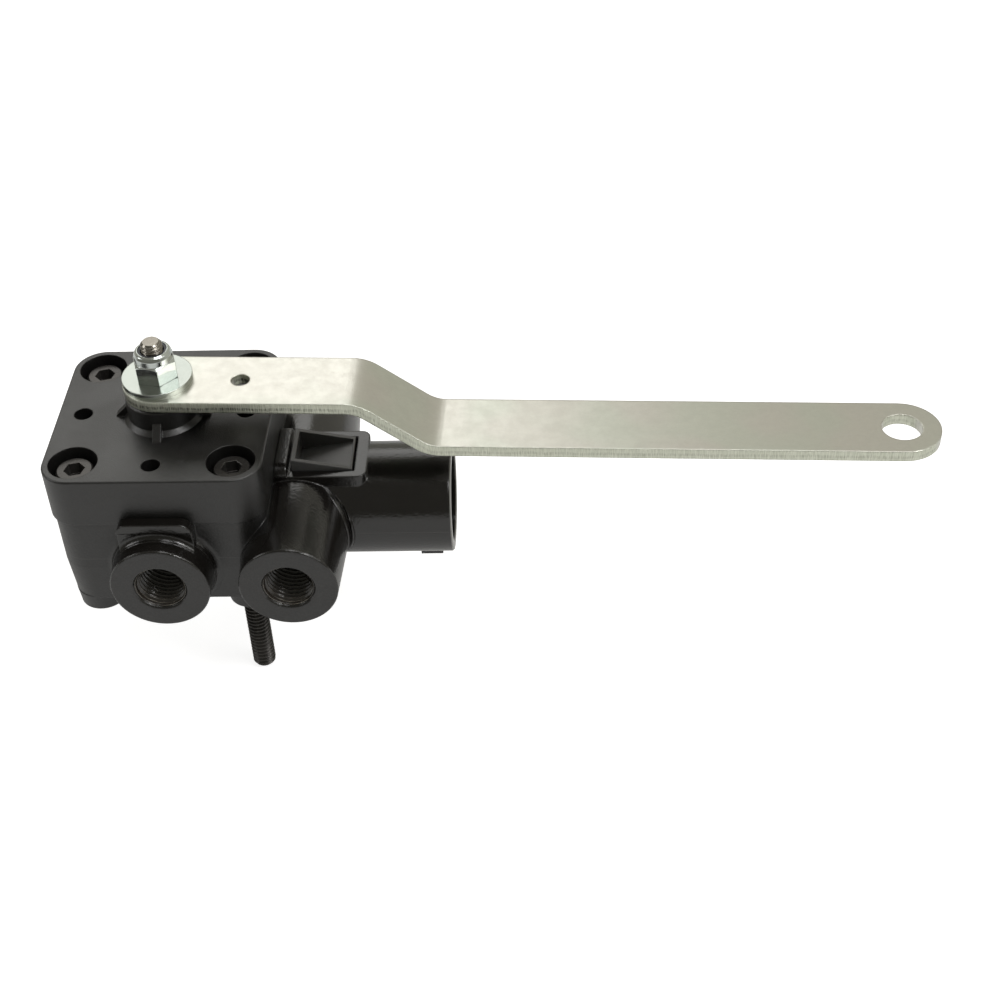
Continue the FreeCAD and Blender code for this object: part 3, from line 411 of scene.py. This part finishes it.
metalSkin = {"fineness": 0.6, "edgeBreak": 0.4}
metalLooks = {
    "brightZinc": {
        "metallic": 1.0, "grainScale": 1800.0, "edgeLine": 3.0, "deep": (0.60, 0.65, 0.63, 1),
        "light": (0.74, 0.78, 0.76, 1), "edgeWearAndHighlight": (0.85, 0.87, 0.86, 1), "glossy": 0.08, "dull": 0.17,
        "bumpDepth": 0.006 * mm, "edgeRadius": 0.3 * mm,
    },
    "washerZinc": {
        "metallic": 1.0, "grainScale": 1800.0, "edgeLine": 3.0, "deep": (0.40, 0.43, 0.40, 1),
        "light": (0.52, 0.55, 0.51, 1), "edgeWearAndHighlight": (0.8, 0.83, 0.8, 1), "glossy": 0.17, "dull": 0.25,
        "bumpDepth": 0.006 * mm, "edgeRadius": 0.3 * mm,
    },
    "blackOxide": {
        "metallic": 0.6, "grainScale": 2200.0, "edgeLine": 5.0, "deep": (0.045, 0.042, 0.040, 1),
        "light": (0.085, 0.080, 0.075, 1), "edgeWearAndHighlight": (0.22, 0.21, 0.20, 1), "glossy": 0.20, "dull": 0.34,
        "bumpDepth": 0.01 * mm, "edgeRadius": 0.2 * mm,
    },
    "shaftSteel": {
        "metallic": 1.0, "grainScale": 2600.0, "edgeLine": 4.0, "deep": (0.20, 0.185, 0.16, 1),
        "light": (0.38, 0.355, 0.31, 1), "edgeWearAndHighlight": (0.6, 0.58, 0.53, 1), "glossy": 0.16, "dull": 0.28,
        "bumpDepth": 0.01 * mm, "edgeRadius": 0.2 * mm,
    },
    "springSteel": {
        "metallic": 1.0, "grainScale": 2600.0, "edgeLine": 2.0, "deep": (0.34, 0.33, 0.31, 1),
        "light": (0.5, 0.49, 0.47, 1), "edgeWearAndHighlight": (0.6, 0.6, 0.58, 1), "glossy": 0.22, "dull": 0.34,
        "bumpDepth": 0.01 * mm, "edgeRadius": 0.1 * mm,
    },
    "bearingBronze": {
        "metallic": 1.0, "grainScale": 2400.0, "edgeLine": 2.0, "deep": (0.42, 0.25, 0.10, 1),
        "light": (0.58, 0.37, 0.17, 1), "edgeWearAndHighlight": (0.7, 0.5, 0.26, 1), "glossy": 0.3, "dull": 0.45,
        "bumpDepth": 0.01 * mm, "edgeRadius": 0.2 * mm,
    },
    "brassParts": {
        "metallic": 1.0, "grainScale": 2400.0, "edgeLine": 2.0, "deep": (0.55, 0.40, 0.15, 1),
        "light": (0.72, 0.55, 0.25, 1), "edgeWearAndHighlight": (0.82, 0.68, 0.38, 1), "glossy": 0.22, "dull": 0.36,
        "bumpDepth": 0.01 * mm, "edgeRadius": 0.2 * mm,
    },
    "darkScreen": {
        "metallic": 0.6, "grainScale": 3000.0, "edgeLine": 1.0, "deep": (0.012, 0.011, 0.009, 1),
        "light": (0.022, 0.020, 0.016, 1), "edgeWearAndHighlight": (0.04, 0.036, 0.03, 1), "glossy": 0.5, "dull": 0.7,
        "bumpDepth": 0.01 * mm, "edgeRadius": 0.1 * mm,
    },
}


def makeMetal(name, look):
    material, tree, shader = startMaterial(name, {"Metallic": look["metallic"]})
    grain = useGroup(tree, skinGrain, {"Scale": look["grainScale"], "Fineness": metalSkin["fineness"]})
    edge = useGroup(tree, edgeWearAndGlint, {"Line": look["edgeLine"], "Break": metalSkin["edgeBreak"]})
    colour = mixColour(tree, grain["Tone"], look["deep"], look["light"])
    # pale edge colour: partly wear, partly a painted highlight along the edges
    colour = mixColour(tree, edge["Mask"], colour, look["edgeWearAndHighlight"])
    roughness = spread(tree, grain["Tone"], 0.0, 1.0, look["glossy"], look["dull"])
    finishSurface(tree, shader, colour, roughness, grain["Height"], look["bumpDepth"], look["edgeRadius"])
    return material


metals = {name: makeMetal(name, look) for name, look in metalLooks.items()}


# rubber, nylon, acetal and ceramic of the inner pieces

mouldedSkin = {"specular": 0.45, "grainScale": 2400.0, "fineness": 0.5, "bumpDepth": 0.01 * mm,
               "edgeRadius": 0.1 * mm}
mouldedLooks = {
    "sealRubber": {"deep": (0.010, 0.010, 0.010, 1), "light": (0.018, 0.018, 0.018, 1),
                   "glossy": 0.5, "dull": 0.7},
    "greyAcetal": {"deep": (0.045, 0.046, 0.048, 1), "light": (0.065, 0.066, 0.068, 1),
                   "glossy": 0.4, "dull": 0.5},
    "nylonInsert": {"deep": (0.030, 0.032, 0.040, 1), "light": (0.05, 0.053, 0.062, 1),
                    "glossy": 0.35, "dull": 0.5},
    "discCeramic": {"deep": (0.60, 0.58, 0.52, 1), "light": (0.74, 0.72, 0.66, 1),
                    "glossy": 0.2, "dull": 0.3},
}


def makeMoulded(name, look):
    skin = mouldedSkin
    material, tree, shader = startMaterial(name, {"Specular IOR Level": skin["specular"]})
    grain = useGroup(tree, skinGrain, {"Scale": skin["grainScale"], "Fineness": skin["fineness"]})
    colour = mixColour(tree, grain["Tone"], look["deep"], look["light"])
    roughness = spread(tree, grain["Tone"], 0.0, 1.0, look["glossy"], look["dull"])
    finishSurface(tree, shader, colour, roughness, grain["Height"], skin["bumpDepth"], skin["edgeRadius"])
    return material


moulded = {name: makeMoulded(name, look) for name, look in mouldedLooks.items()}
print("materials made")


# finish of every carried-over node

nodeFinish = {
    "valve_body": housingBlack, "cover": coverBlack, "cover_gasket": moulded["sealRubber"],
    "cover_screw_front": metals["blackOxide"], "cover_screw_rear": metals["blackOxide"],
    "mounting_screw_front": metals["blackOxide"], "mounting_screw_rear": metals["blackOxide"],
    "control_shaft": metals["shaftSteel"], "shaft_seal": moulded["sealRubber"],
    "shaft_bushing": metals["bearingBronze"], "thrust_spring": metals["springSteel"],
    "rotor_disc": moulded["discCeramic"], "seat_disc": moulded["discCeramic"],
    "seat_seals": moulded["sealRubber"], "seat_pin": metals["springSteel"], "lever_arm": zincPlate,
    "lever_washer": metals["washerZinc"], "lock_nut": metals["brightZinc"],
    "lock_nut_insert": moulded["nylonInsert"], "retaining_clip": clipPaintedLit,
    "inlet_screen": metals["darkScreen"], "inlet_seat": metals["brassParts"],
    "inlet_poppet": metals["brassParts"], "inlet_spring": metals["springSteel"],
    "dump_cartridge": moulded["greyAcetal"], "cartridge_seals": moulded["sealRubber"],
    "dump_seat": metals["brassParts"], "dump_piston": moulded["greyAcetal"],
    "piston_seal": moulded["sealRubber"], "dump_spring": metals["springSteel"],
    "exhaust_screen": metals["darkScreen"],
}
for nodeName, finish in nodeFinish.items():
    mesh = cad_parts[nodeName].data
    if not mesh.materials:
        mesh.materials.append(finish)
    for index in range(len(mesh.materials)):
        mesh.materials[index] = finish
print("node finishes set")


# mesh helpers

def steps(start, end, size):
    count = max(2, round((end - start) / size))
    return [start + (end - start) * step / count for step in range(count + 1)]


def joinRings(bm, low, high):
    count = len(low)
    for column in range(count):
        beside = (column + 1) % count
        face = bm.faces.new((low[column], low[beside], high[beside], high[column]))
        face.smooth = True


def addRings(bm, base, axis, distances, columns, radiusAt):
    # rings round an axis, the first point of each towards +X
    across = Vector((1, 0, 0))
    along = axis.cross(across)
    rings = []
    for distance in distances:
        ring = []
        for column in range(columns):
            angle = fullTurn * column / columns
            reach = across * math.cos(angle) + along * math.sin(angle)
            ring.append(bm.verts.new(base + axis * distance + reach * radiusAt(angle, distance)))
        rings.append(ring)
    for low, high in zip(rings, rings[1:]):
        joinRings(bm, low, high)
    return rings


def addPiece(name, bm, body, material):
    mesh = bpy.data.meshes.new(name)
    bmesh.ops.recalc_face_normals(bm, faces=bm.faces)
    bm.normal_update()
    bm.to_mesh(mesh)
    bm.free()
    mesh.materials.append(material)
    piece = bpy.data.objects.new(name, mesh)
    scene.collection.objects.link(piece)
    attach(piece, body)
    return piece


# threads on the mounting screws and the shaft

threadForm = {"crestShare": 0.16, "flankShare": 0.66, "ringsPerPitch": 12, "columns": 40}
screwThread = {"pitch": 1.27 * mm, "crest": 3.1 * mm, "depth": 0.62 * mm, "start": 2.5 * mm,
               "plain": 0.635 * mm, "chamfer": 0.9 * mm}
shaftThread = {"pitch": 1.0 * mm, "crest": 2.8 * mm, "depth": 0.55 * mm, "start": 61.5 * mm,
               "plain": 0.0, "chamfer": 0.75 * mm}
weldGap = 0.0001 * mm


def threadRadius(angle, distance, look):
    # crest and root of a sharp thread, with small flats
    phase = (distance / look["pitch"] - angle / fullTurn) % 1.0
    offCrest = abs(phase - 0.5) * 2
    fall = min(max((offCrest - threadForm["crestShare"]) / threadForm["flankShare"], 0.0), 1.0)
    return look["crest"] - look["depth"] * fall


def trimmedCopy(nodeName, height, keepAbove):
    # the node's own mesh on one side of a level plane, closed at the cut
    bm = bmesh.new()
    bm.from_mesh(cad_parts[nodeName].data)
    bmesh.ops.remove_doubles(bm, verts=bm.verts, dist=weldGap)
    every = bm.verts[:] + bm.edges[:] + bm.faces[:]
    cut = bmesh.ops.bisect_plane(bm, geom=every, plane_co=(0, 0, height), plane_no=(0, 0, 1),
                                 clear_inner=keepAbove, clear_outer=not keepAbove)
    edges = [part for part in cut["geom_cut"] if isinstance(part, bmesh.types.BMEdge)]
    bmesh.ops.contextual_create(bm, geom=edges)
    return bm


def addThreadedEnd(bm, base, axis, length, look):
    # a closed threaded rod from the cut to a chamfered tip
    def radiusAt(angle, distance):
        tip = look["crest"] - look["chamfer"] + (length - distance)
        lead = look["crest"] if distance < look["plain"] else 0.0
        return max(min(threadRadius(angle, distance, look), tip), lead)

    distances = steps(0, length, look["pitch"] / threadForm["ringsPerPitch"])
    rings = addRings(bm, base, axis, distances, threadForm["columns"], radiusAt)
    bm.faces.new(rings[0])
    bm.faces.new(rings[-1])


def makeMountingScrew(nodeName):
    low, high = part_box(nodeName)
    start = screwThread["start"]
    bm = trimmedCopy(nodeName, start, True)
    base = Vector(((low[0] + high[0]) / 2, (low[1] + high[1]) / 2, start))
    addThreadedEnd(bm, base, Vector((0, 0, -1)), start - low[2], screwThread)
    screw = addPiece(nodeName + "_threaded", bm, "housing", metals["blackOxide"])
    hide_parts(nodeName)


def makeShaft():
    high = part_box("control_shaft")[1]
    start = shaftThread["start"]
    bm = trimmedCopy("control_shaft", start, False)
    addThreadedEnd(bm, Vector((0, 0, start)), Vector((0, 0, 1)), high[2] - start, shaftThread)
    shaft = addPiece("control_shaft_threaded", bm, "lever", metals["shaftSteel"])
    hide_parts("control_shaft")


makeMountingScrew("mounting_screw_front")
makeMountingScrew("mounting_screw_rear")
makeShaft()
print("mounting screws and shaft tip threaded")


# taper threads in the ports

portThread = {
    "pitch": 1.411 * mm, "crest": 6.58 * mm, "depth": 0.72 * mm, "taper": 1 / 32, "columns": 64,
    "inset": 0.7 * mm, "length": 13.7 * mm, "backing": 0.015 * mm,
    "mouthDepth": 1.4 * mm, "mouthStep": 0.12 * mm, "mouthSlope": 0.35,
}
portPlaces = {"inlet_port_thread": (-1, 0.0), "front_air_port_thread": (-1, airPortX),
              "rear_air_port_thread": (1, airPortX)}


def makePortThread(name, side, x):
    # a thin sleeve, its thread standing in from the wall of the bore and opened at the mouth
    look = portThread
    bm = bmesh.new()
    base = Vector((x, side * (portFace - look["inset"]), portHeight))
    axis = Vector((0, -side, 0))

    def threadAt(angle, distance):
        tapered = dict(look, crest=look["crest"] - distance * look["taper"])
        wall = threadRadius(angle, distance, tapered)
        mouth = look["crest"] - look["mouthStep"] - distance * look["mouthSlope"]
        return max(wall, mouth) if distance < look["mouthDepth"] else wall

    def wallAt(angle, distance):
        return look["crest"] + look["backing"]

    distances = steps(0, look["length"], look["pitch"] / threadForm["ringsPerPitch"])
    inner = addRings(bm, base, axis, distances, look["columns"], threadAt)
    outer = addRings(bm, base, axis, [0, look["length"]], look["columns"], wallAt)
    joinRings(bm, inner[0], outer[0])
    joinRings(bm, inner[-1], outer[-1])
    addPiece(name, bm, "housing", threadBlackPaintedSheen)


for threadName, (side, x) in portPlaces.items():
    makePortThread(threadName, side, x)
print("port threads cut")


# rounded corner where each air port boss runs into the tube

blendLook = {
    "tube": 15.0 * mm, "boss": 12.75 * mm, "draft": math.tan(math.radians(3.0)), "fillet": 1.8 * mm,
    "start": 18.0, "end": 204.0, "sections": 62, "arcSteps": 10, "sunk": 0.01 * mm,
    "firstReach": 17.0 * mm, "rounds": 8, "tuckTube": 0.55, "tuckBoss": 0.2,
}


def bossRadiusAt(reach):
    return blendLook["boss"] + (portFace - reach) * blendLook["draft"]


def blendSection(turn):
    # a ball rolled round the boss touches the tube at one end of the arc and the boss at the other
    look = blendLook
    ball, tube = look["fillet"], look["tube"]
    sideways, upward = math.sin(turn), math.cos(turn)
    reach = look["firstReach"]
    for _ in range(look["rounds"]):
        radius = bossRadiusAt(reach) + ball
        reach = math.sqrt((tube + ball) ** 2 - (radius * upward) ** 2)
    centre = Vector((radius * sideways, reach, radius * upward))
    onTube = Vector((centre.x, centre.y * tube / (tube + ball), centre.z * tube / (tube + ball)))
    onBoss = Vector(((radius - ball) * sideways, reach, (radius - ball) * upward))
    toTube, toBoss = onTube - centre, onBoss - centre
    arc = []
    for step in range(look["arcSteps"] + 1):
        share = step / look["arcSteps"]
        way = (toTube * (1 - share) + toBoss * share).normalized()
        arc.append(centre + way * (ball + look["sunk"]))
    hiddenCorner = onBoss + toTube * look["tuckTube"] + toBoss * look["tuckBoss"]
    return arc + [hiddenCorner]


def makeBossBlend(name, side):
    look = blendLook
    bm = bmesh.new()
    rings = []
    for degrees in steps(look["start"], look["end"], (look["end"] - look["start"]) / look["sections"]):
        ring = []
        for point in blendSection(math.radians(degrees)):
            spot = Vector((point.x + airPortX, side * point.y, point.z + portHeight))
            ring.append(bm.verts.new(spot))
        rings.append(ring)
    for low, high in zip(rings, rings[1:]):
        joinRings(bm, low, high)
        for border in (0, look["arcSteps"], look["arcSteps"] + 1):
            bm.edges.get((low[border], high[border])).smooth = False
    for ring in (rings[0], rings[-1]):
        for edge in bm.faces.new(ring).edges:
            edge.smooth = False
    addPiece(name, bm, "housing", housingBlack)


makeBossBlend("front_boss_blend", -1)
makeBossBlend("rear_boss_blend", 1)
print("boss corners rounded")


# floor, light and camera

floorLook = {"size": 6.0, "gap": 0.4 * mm, "colour": (0.6, 0.6, 0.6, 1), "glow": 0.84, "shine": 0.18}


def makeFloor():
    look = floorLook
    bm = bmesh.new()
    bmesh.ops.create_grid(bm, x_segments=2, y_segments=2, size=look["size"] / 2)
    bmesh.ops.translate(bm, verts=bm.verts, vec=(0, 0, cadBox[0][2] - look["gap"]))
    mesh = bpy.data.meshes.new("studioFloor")
    bm.to_mesh(mesh)
    bm.free()
    floor = bpy.data.objects.new("studioFloor", mesh)
    scene.collection.objects.link(floor)
    material = bpy.data.materials.new("paleFloor")
    material.use_nodes = True
    tree = material.node_tree
    tree.nodes.clear()
    diffuse = addNode(tree, "ShaderNodeBsdfDiffuse", {"Color": look["colour"]})
    seen = addNode(tree, "ShaderNodeLightPath")
    shine = calc(tree, "MULTIPLY", seen.outputs["Is Glossy Ray"], look["shine"])
    glow = calc(tree, "MULTIPLY_ADD", seen.outputs["Is Camera Ray"], look["glow"], shine)
    emission = addNode(tree, "ShaderNodeEmission", {"Color": (1, 1, 1, 1), "Strength": glow})
    both = addNode(tree, "ShaderNodeAddShader", {0: diffuse.outputs[0], 1: emission.outputs[0]})
    addNode(tree, "ShaderNodeOutputMaterial", {"Surface": both.outputs[0]})
    mesh.materials.append(material)


roomLook = {"turn": math.radians(62.0), "fadeRange": (-0.45, 0.7), "front": 0.16, "back": 0.46,
            "tint": (1.0, 0.97, 0.84, 1)}


def makeWorld():
    # white to the camera, and a dim warm room that is lighter towards the back
    look = roomLook
    world = bpy.data.worlds.new("paleStudio")
    world.use_nodes = True
    scene.world = world
    tree = world.node_tree
    tree.nodes.clear()
    seen = addNode(tree, "ShaderNodeLightPath").outputs["Is Camera Ray"]
    way = splitAxes(tree, addNode(tree, "ShaderNodeTexCoord").outputs["Generated"])
    sideways = calc(tree, "MULTIPLY", way["X"], math.cos(look["turn"]))
    inward = calc(tree, "MULTIPLY_ADD", way["Y"], math.sin(look["turn"]), sideways)
    room = spread(tree, inward, *look["fadeRange"], look["front"], look["back"])
    strength = calc(tree, "MAXIMUM", seen, room)
    tint = mixColour(tree, seen, look["tint"], (1, 1, 1, 1))
    background = addNode(tree, "ShaderNodeBackground", {"Color": tint, "Strength": strength})
    addNode(tree, "ShaderNodeOutputWorld", {"Surface": background.outputs[0]})


softBoxes = {
    "backBox": {"place": (-0.27, 0.80, 0.70), "aim": (0.0, 0.0, 0.05), "size": (0.75, 0.5), "power": 1.5},
    "leftBox": {"place": (-0.95, -0.05, 0.66), "aim": (0.0, 0.0, 0.03), "size": (0.4, 0.5), "power": 1.9},
    "rightBox": {"place": (0.95, -0.20, 0.66), "aim": (0.0, 0.0, 0.05), "size": (0.45, 0.45), "power": 1.3},
    "rightKey": {"place": (0.68, -0.40, 0.92), "aim": (0.02, 0.0, 0.03), "size": (0.38, 0.30), "power": 3.6},
    "topBox": {"place": (0.18, 0.02, 1.05), "aim": (0.03, 0.0, 0.02), "size": (0.6, 0.3), "power": 2.2},
}


def makeSoftBoxes():
    for name, box in softBoxes.items():
        light = bpy.data.lights.new(name, "AREA")
        light.shape = "RECTANGLE"
        light.size, light.size_y = box["size"]
        light.energy = box["power"]
        lamp = bpy.data.objects.new(name, light)
        lamp.location = box["place"]
        reach = Vector(box["aim"]) - Vector(box["place"])
        lamp.rotation_euler = reach.to_track_quat("-Z", "Y").to_euler()
        scene.collection.objects.link(lamp)


cameraLook = {
    "place": (0.100763, -0.341823, 0.308706), "right": (0.99942387, 0.01625479, -0.02979457),
    "down": (-0.01194445, -0.65324786, -0.75704991), "ahead": (-0.03176892, 0.75696962, -0.65267735),
    "lens": 59.98, "sensor": 36.0, "near": 0.01, "far": 20.0,
}


def makeCamera():
    look = cameraLook
    data = bpy.data.cameras.new("photoCamera")
    data.lens = look["lens"]
    data.sensor_width = look["sensor"]
    data.clip_start = look["near"]
    data.clip_end = look["far"]
    camera = bpy.data.objects.new("photoCamera", data)
    right, down, ahead = (Vector(look[way]) for way in ("right", "down", "ahead"))
    turned = Matrix((right, -down, -ahead)).transposed().to_4x4()
    camera.matrix_world = Matrix.Translation(look["place"]) @ turned
    scene.collection.objects.link(camera)
    scene.camera = camera


makeFloor()
makeWorld()
makeSoftBoxes()
makeCamera()
print("studio ready")
